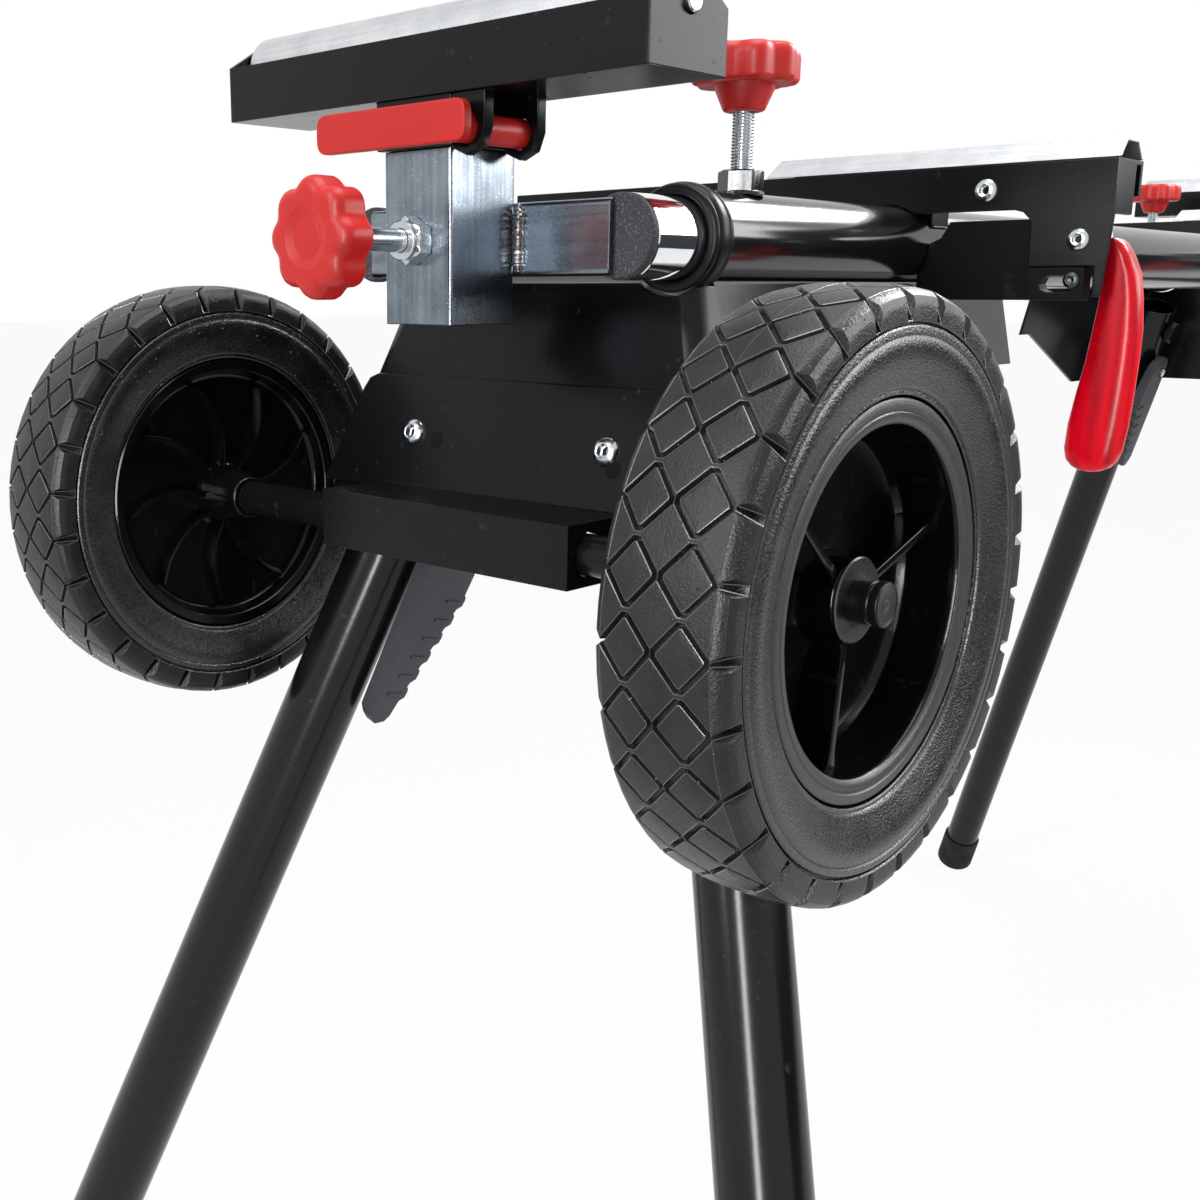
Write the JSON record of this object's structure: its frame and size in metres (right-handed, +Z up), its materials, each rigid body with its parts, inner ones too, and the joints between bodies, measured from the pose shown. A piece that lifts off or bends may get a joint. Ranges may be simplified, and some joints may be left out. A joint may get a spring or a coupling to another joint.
{
  "type": "folding mitre saw stand",
  "caption": "Folding stand for a mitre saw: two rails on splayed folding legs, transport wheels at one end, pull-out roller supports and quick-release saw brackets.",
  "frame": {"origin": "on the floor, under the middle of the stand", "axes": "+X along the rails away from the wheels, +Y across them away from the bracket levers, +Z up"},
  "size_m": [1.3594, 0.614, 0.8237],
  "materials": {
    "black_paint": "gloss black paint on steel",
    "zinc": "bright galvanised steel",
    "roller_zinc": "bright zinc plated steel",
    "chrome": "polished chrome",
    "tyre": "matt black tread, satin sidewall",
    "wheel_plastic": "satin black moulding",
    "collar_plastic": "satin black moulding",
    "cap_plastic": "grained dark grey moulding",
    "latch_plastic": "grained grey moulding",
    "foot_rubber": "matt black rubber",
    "red_plastic": "smooth red moulding"
  },
  "bodies": {
    "frame": {"rail_left": "black_paint", "rail_right": "black_paint", "wheel_end_saddle": "black_paint", "far_end_saddle": "black_paint", "axle_bracket": "black_paint", "axle": "zinc", "wheel_left_axle_cap": "wheel_plastic", "wheel_right_axle_cap": "wheel_plastic", "wheel_end_collar_left": "collar_plastic", "wheel_end_collar_right": "collar_plastic", "far_end_collar_left": "collar_plastic", "far_end_collar_right": "collar_plastic"},
    "wheel_left": {"wheel_left_tyre": "tyre", "wheel_left_rim": "wheel_plastic"},
    "wheel_right": {"wheel_right_tyre": "tyre", "wheel_right_rim": "wheel_plastic"},
    "wheel_end_arm": {"wheel_end_head": "zinc", "wheel_end_tube_left": "chrome", "wheel_end_tube_right": "chrome", "wheel_end_cap_left": "cap_plastic", "wheel_end_cap_right": "cap_plastic"},
    "wheel_end_support": {"wheel_end_post": "zinc", "wheel_end_tray": "black_paint"},
    "wheel_end_roller": {"wheel_end_roller": "roller_zinc"},
    "wheel_end_stop": {"wheel_end_stop": "red_plastic"},
    "wheel_end_post_knob": {"wheel_end_post_knob": "red_plastic"},
    "wheel_end_leg_left": {"wheel_end_leg_left_tube": "black_paint", "wheel_end_leg_left_foot": "foot_rubber"},
    "wheel_end_leg_left_latch": {"wheel_end_leg_left_latch": "latch_plastic"},
    "wheel_end_leg_right": {"wheel_end_leg_right_tube": "black_paint", "wheel_end_leg_right_foot": "foot_rubber"},
    "wheel_end_leg_right_latch": {"wheel_end_leg_right_latch": "latch_plastic"},
    "far_end_arm": {"far_end_head": "zinc", "far_end_tube_left": "chrome", "far_end_tube_right": "chrome", "far_end_cap_left": "cap_plastic", "far_end_cap_right": "cap_plastic"},
    "far_end_support": {"far_end_post": "zinc", "far_end_tray": "black_paint"},
    "far_end_roller": {"far_end_roller": "roller_zinc"},
    "far_end_stop": {"far_end_stop": "red_plastic"},
    "far_end_post_knob": {"far_end_post_knob": "red_plastic"},
    "far_end_leg_left": {"far_end_leg_left_tube": "black_paint", "far_end_leg_left_foot": "foot_rubber"},
    "far_end_leg_left_latch": {"far_end_leg_left_latch": "latch_plastic"},
    "far_end_leg_right": {"far_end_leg_right_tube": "black_paint", "far_end_leg_right_foot": "foot_rubber"},
    "far_end_leg_right_latch": {"far_end_leg_right_latch": "latch_plastic"},
    "rail_knob_right": {"rail_knob_right": "red_plastic"},
    "rail_knob_left": {"rail_knob_left": "red_plastic"},
    "bracket_a": {"bracket_a_beam": "black_paint", "bracket_a_seat": "zinc"},
    "bracket_a_lever": {"bracket_a_lever": "zinc", "bracket_a_grip": "red_plastic"},
    "bracket_a_jaw": {"bracket_a_jaw": "collar_plastic"},
    "bracket_b": {"bracket_b_beam": "black_paint", "bracket_b_seat": "zinc"},
    "bracket_b_lever": {"bracket_b_lever": "zinc", "bracket_b_grip": "red_plastic"},
    "bracket_b_jaw": {"bracket_b_jaw": "collar_plastic"}
  },
  "joints": [
    {"name": "wheel_left_spin", "type": "hinge", "parent": "frame", "child": "wheel_left", "pos_m": [-0.55, 0.1714, 0.62], "axis": [0, 1, 0], "continuous": true},
    {"name": "wheel_right_spin", "type": "hinge", "parent": "frame", "child": "wheel_right", "pos_m": [-0.55, -0.1714, 0.62], "axis": [0, 1, 0], "continuous": true},
    {"name": "wheel_end_pull_out", "type": "slide", "parent": "frame", "child": "wheel_end_arm", "axis": [-1, 0, 0], "range_m": [-0.007, 0.36]},
    {"name": "wheel_end_support_lift", "type": "slide", "parent": "wheel_end_arm", "child": "wheel_end_support", "axis": [0, 0, 1], "range_m": [0, 0.04]},
    {"name": "wheel_end_roller_spin", "type": "hinge", "parent": "wheel_end_support", "child": "wheel_end_roller", "pos_m": [-0.5535, 0, 0.8098], "axis": [0, 1, 0], "continuous": true},
    {"name": "wheel_end_stop_flip", "type": "hinge", "parent": "wheel_end_support", "child": "wheel_end_stop", "pos_m": [-0.5535, -0.0265, 0.7753], "axis": [1, 0, 0], "range_deg": [0, 90]},
    {"name": "wheel_end_post_knob_turn", "type": "hinge", "parent": "wheel_end_arm", "child": "wheel_end_post_knob", "pos_m": [-0.59, 0, 0.736], "axis": [-1, 0, 0], "range_deg": [0, 720]},
    {"name": "wheel_end_leg_left_fold", "type": "hinge", "parent": "frame", "child": "wheel_end_leg_left", "pos_m": [-0.48578, 0.0798, 0.644], "axis": [0, -0.9499, -0.3125], "range_deg": [0, 104.6]},
    {"name": "wheel_end_leg_left_latch_press", "type": "hinge", "parent": "wheel_end_leg_left", "child": "wheel_end_leg_left_latch", "pos_m": [-0.4862, 0.0914, 0.60875], "axis": [0, 0.9499, 0.3125], "range_deg": [0, 15], "stiffness_Nm_per_rad": 1.5},
    {"name": "wheel_end_leg_right_fold", "type": "hinge", "parent": "frame", "child": "wheel_end_leg_right", "pos_m": [-0.48578, -0.0798, 0.644], "axis": [0, -0.9499, 0.3125], "range_deg": [0, 104.6]},
    {"name": "wheel_end_leg_right_latch_press", "type": "hinge", "parent": "wheel_end_leg_right", "child": "wheel_end_leg_right_latch", "pos_m": [-0.4862, -0.0914, 0.60875], "axis": [0, 0.9499, -0.3125], "range_deg": [0, 15], "stiffness_Nm_per_rad": 1.5},
    {"name": "far_end_pull_out", "type": "slide", "parent": "frame", "child": "far_end_arm", "axis": [1, 0, 0], "range_m": [-0.007, 0.36]},
    {"name": "far_end_support_lift", "type": "slide", "parent": "far_end_arm", "child": "far_end_support", "axis": [0, 0, 1], "range_m": [0, 0.04]},
    {"name": "far_end_roller_spin", "type": "hinge", "parent": "far_end_support", "child": "far_end_roller", "pos_m": [0.5535, 0, 0.8098], "axis": [0, 1, 0], "continuous": true},
    {"name": "far_end_stop_flip", "type": "hinge", "parent": "far_end_support", "child": "far_end_stop", "pos_m": [0.5535, 0.0265, 0.7753], "axis": [-1, 0, 0], "range_deg": [0, 90]},
    {"name": "far_end_post_knob_turn", "type": "hinge", "parent": "far_end_arm", "child": "far_end_post_knob", "pos_m": [0.59, 0, 0.736], "axis": [1, 0, 0], "range_deg": [0, 720]},
    {"name": "far_end_leg_left_fold", "type": "hinge", "parent": "frame", "child": "far_end_leg_left", "pos_m": [0.47474, -0.06664, 0.684], "axis": [0, 0.9499, -0.3125], "range_deg": [0, 104.6]},
    {"name": "far_end_leg_left_latch_press", "type": "hinge", "parent": "far_end_leg_left", "child": "far_end_leg_left_latch", "pos_m": [0.47516, -0.07824, 0.64875], "axis": [0, -0.9499, 0.3125], "range_deg": [0, 15], "stiffness_Nm_per_rad": 1.5},
    {"name": "far_end_leg_right_fold", "type": "hinge", "parent": "frame", "child": "far_end_leg_right", "pos_m": [0.47474, 0.06664, 0.684], "axis": [0, 0.9499, 0.3125], "range_deg": [0, 104.6]},
    {"name": "far_end_leg_right_latch_press", "type": "hinge", "parent": "far_end_leg_right", "child": "far_end_leg_right_latch", "pos_m": [0.47516, 0.07824, 0.64875], "axis": [0, -0.9499, -0.3125], "range_deg": [0, 15], "stiffness_Nm_per_rad": 1.5},
    {"name": "rail_knob_right_turn", "type": "hinge", "parent": "frame", "child": "rail_knob_right", "pos_m": [-0.453, -0.067, 0.78], "axis": [0, 0, 1], "range_deg": [0, 720]},
    {"name": "rail_knob_left_turn", "type": "hinge", "parent": "frame", "child": "rail_knob_left", "pos_m": [0.453, 0.067, 0.78], "axis": [0, 0, 1], "range_deg": [0, 720]},
    {"name": "bracket_a_slide", "type": "slide", "parent": "frame", "child": "bracket_a", "axis": [1, 0, 0], "range_m": [-0.08, 0.25]},
    {"name": "bracket_a_lever_swing", "type": "hinge", "parent": "bracket_a", "child": "bracket_a_lever", "pos_m": [-0.3093, -0.155, 0.7387], "axis": [-1, 0, 0], "range_deg": [0, 40]},
    {"name": "bracket_a_jaw_release", "type": "slide", "parent": "bracket_a", "child": "bracket_a_jaw", "axis": [0, -1, 0], "range_m": [0, 0.003]},
    {"name": "bracket_b_slide", "type": "slide", "parent": "frame", "child": "bracket_b", "axis": [1, 0, 0], "range_m": [-0.25, 0.08]},
    {"name": "bracket_b_lever_swing", "type": "hinge", "parent": "bracket_b", "child": "bracket_b_lever", "pos_m": [0.3107, -0.155, 0.7387], "axis": [-1, 0, 0], "range_deg": [0, 40]},
    {"name": "bracket_b_jaw_release", "type": "slide", "parent": "bracket_b", "child": "bracket_b_jaw", "axis": [0, -1, 0], "range_m": [0, 0.003]}
  ],
  "couplings": [
    {"joint": "bracket_a_jaw_release", "follows": "bracket_a_lever_swing", "m_per_rad": 0.0042},
    {"joint": "bracket_b_jaw_release", "follows": "bracket_b_lever_swing", "m_per_rad": 0.0042}
  ]
}
